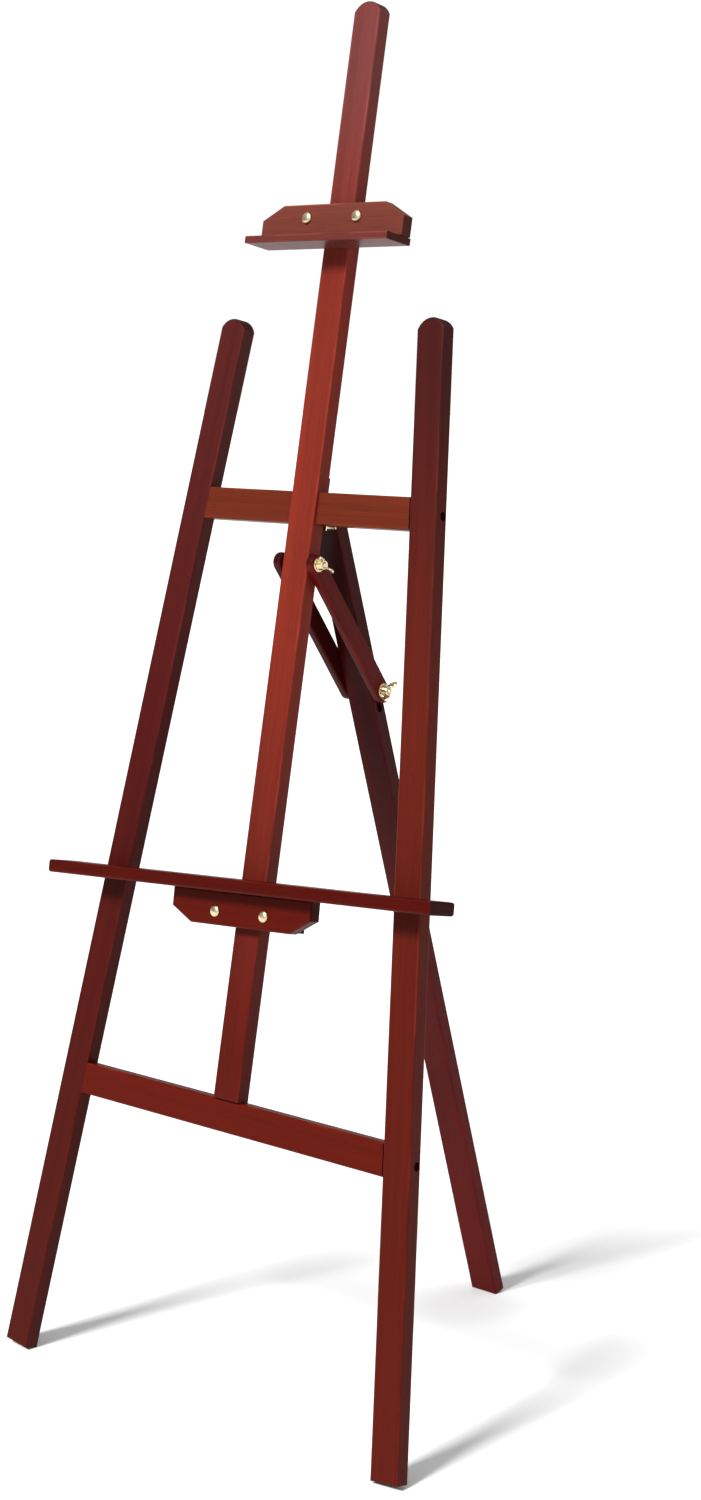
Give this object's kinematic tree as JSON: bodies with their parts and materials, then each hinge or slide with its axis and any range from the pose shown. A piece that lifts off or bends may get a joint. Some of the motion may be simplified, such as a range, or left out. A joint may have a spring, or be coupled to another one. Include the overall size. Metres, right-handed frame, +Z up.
{
  "type": "tripod artist easel",
  "caption": "Folding wooden tripod easel with a central mast, sliding canvas tray and top clamp, hinged rear leg on stays, brass bolts and wing nuts.",
  "frame": {"origin": "middle of the footprint box, on the floor", "axes": "+Z up, -Y to the front where the painter stands, +X to the right seen from the front"},
  "size_m": [0.6008, 0.519, 1.5049],
  "materials": {
    "leg_wood": "dark mahogany stain, satin lacquer",
    "mast_wood": "red mahogany stain, satin lacquer",
    "rail_wood": "brown mahogany stain, satin lacquer",
    "rear_wood": "dark mahogany stain, satin lacquer",
    "steel_screws": "dark oiled steel",
    "brass_fittings": "polished"
  },
  "bodies": {
    "frame": {"left_leg": "leg_wood", "right_leg": "leg_wood", "upper_rail": "rail_wood", "lower_rail": "rail_wood", "mast": "mast_wood", "glue_block_upper": "rear_wood", "glue_block_lower": "rear_wood", "leg_screw_upper_left": "steel_screws", "leg_screw_upper_right": "steel_screws", "leg_screw_lower_left": "steel_screws", "leg_screw_lower_right": "steel_screws", "mast_screw_left": "steel_screws", "mast_screw_right": "steel_screws", "mast_foot_screw": "steel_screws", "hinge_leaf_fixed": "brass_fittings", "hinge_pin": "brass_fittings", "hinge_screw_fixed_left": "brass_fittings", "hinge_screw_fixed_right": "brass_fittings"},
    "rear_support": {"rear_leg": "rear_wood", "hinge_leaf_moving": "brass_fittings", "hinge_screw_moving_left": "brass_fittings", "hinge_screw_moving_right": "brass_fittings"},
    "stay_pair": {"left_stay": "rear_wood", "right_stay": "rear_wood", "upper_stay_bolt": "brass_fittings", "upper_stay_washer": "brass_fittings", "lower_stay_bolt": "brass_fittings", "lower_stay_washer": "brass_fittings"},
    "upper_stay_nut": {"upper_stay_wing_nut": "brass_fittings"},
    "lower_stay_nut": {"lower_stay_wing_nut": "brass_fittings"},
    "canvas_tray": {"tray_shelf": "mast_wood", "tray_front_plate": "mast_wood", "tray_back_block": "leg_wood", "tray_screw_left": "steel_screws", "tray_screw_right": "steel_screws", "tray_left_bolt": "brass_fittings", "tray_left_washer": "brass_fittings", "tray_right_bolt": "brass_fittings", "tray_right_washer": "brass_fittings"},
    "tray_left_nut": {"tray_left_wing_nut": "brass_fittings"},
    "tray_right_nut": {"tray_right_wing_nut": "brass_fittings"},
    "top_clamp": {"clamp_ledge": "mast_wood", "clamp_front_plate": "mast_wood", "clamp_back_block": "leg_wood", "clamp_left_bolt": "brass_fittings", "clamp_left_washer": "brass_fittings", "clamp_right_bolt": "brass_fittings", "clamp_right_washer": "brass_fittings"},
    "clamp_left_nut": {"clamp_left_wing_nut": "brass_fittings"},
    "clamp_right_nut": {"clamp_right_wing_nut": "brass_fittings"}
  },
  "joints": [
    {"name": "rear_leg_fold", "type": "hinge", "parent": "frame", "child": "rear_support", "pos_m": [0, -0.04946, 0.96567], "axis": [-1, 0, 0], "range_deg": [0, 26.3]},
    {"name": "stay_fold", "type": "hinge", "parent": "frame", "child": "stay_pair", "pos_m": [0, -0.08033, 0.90804], "axis": [-1, 0, 0], "range_deg": [0, 34.6]},
    {"name": "upper_stay_nut_turn", "type": "hinge", "parent": "stay_pair", "child": "upper_stay_nut", "pos_m": [0.0311, -0.08033, 0.90804], "axis": [1, 0, 0], "continuous": true},
    {"name": "lower_stay_nut_turn", "type": "hinge", "parent": "stay_pair", "child": "lower_stay_nut", "pos_m": [0.0311, 0.02382, 0.76214], "axis": [1, 0, 0], "continuous": true},
    {"name": "tray_slide", "type": "slide", "parent": "frame", "child": "canvas_tray", "axis": [0, 0.1925, 0.9813], "range_m": [-0.175, 0.15]},
    {"name": "tray_left_nut_turn", "type": "hinge", "parent": "canvas_tray", "child": "tray_left_nut", "pos_m": [-0.03594, -0.12863, 0.52628], "axis": [0, 0.9813, -0.1925], "continuous": true},
    {"name": "tray_right_nut_turn", "type": "hinge", "parent": "canvas_tray", "child": "tray_right_nut", "pos_m": [0.03594, -0.12786, 0.53023], "axis": [0, 0.9813, -0.1925], "continuous": true},
    {"name": "clamp_slide", "type": "slide", "parent": "frame", "child": "top_clamp", "axis": [0, 0.1925, 0.9813], "range_m": [-0.24, 0.2]},
    {"name": "clamp_left_nut_turn", "type": "hinge", "parent": "top_clamp", "child": "clamp_left_nut", "pos_m": [-0.0335, 0.01652, 1.26609], "axis": [0, 0.9813, -0.1925], "continuous": true},
    {"name": "clamp_right_nut_turn", "type": "hinge", "parent": "top_clamp", "child": "clamp_right_nut", "pos_m": [0.0385, 0.01652, 1.26609], "axis": [0, 0.9813, -0.1925], "continuous": true}
  ],
  "couplings": [
    {"joint": "stay_fold", "follows": "rear_leg_fold", "ratio": 1.312}
  ]
}
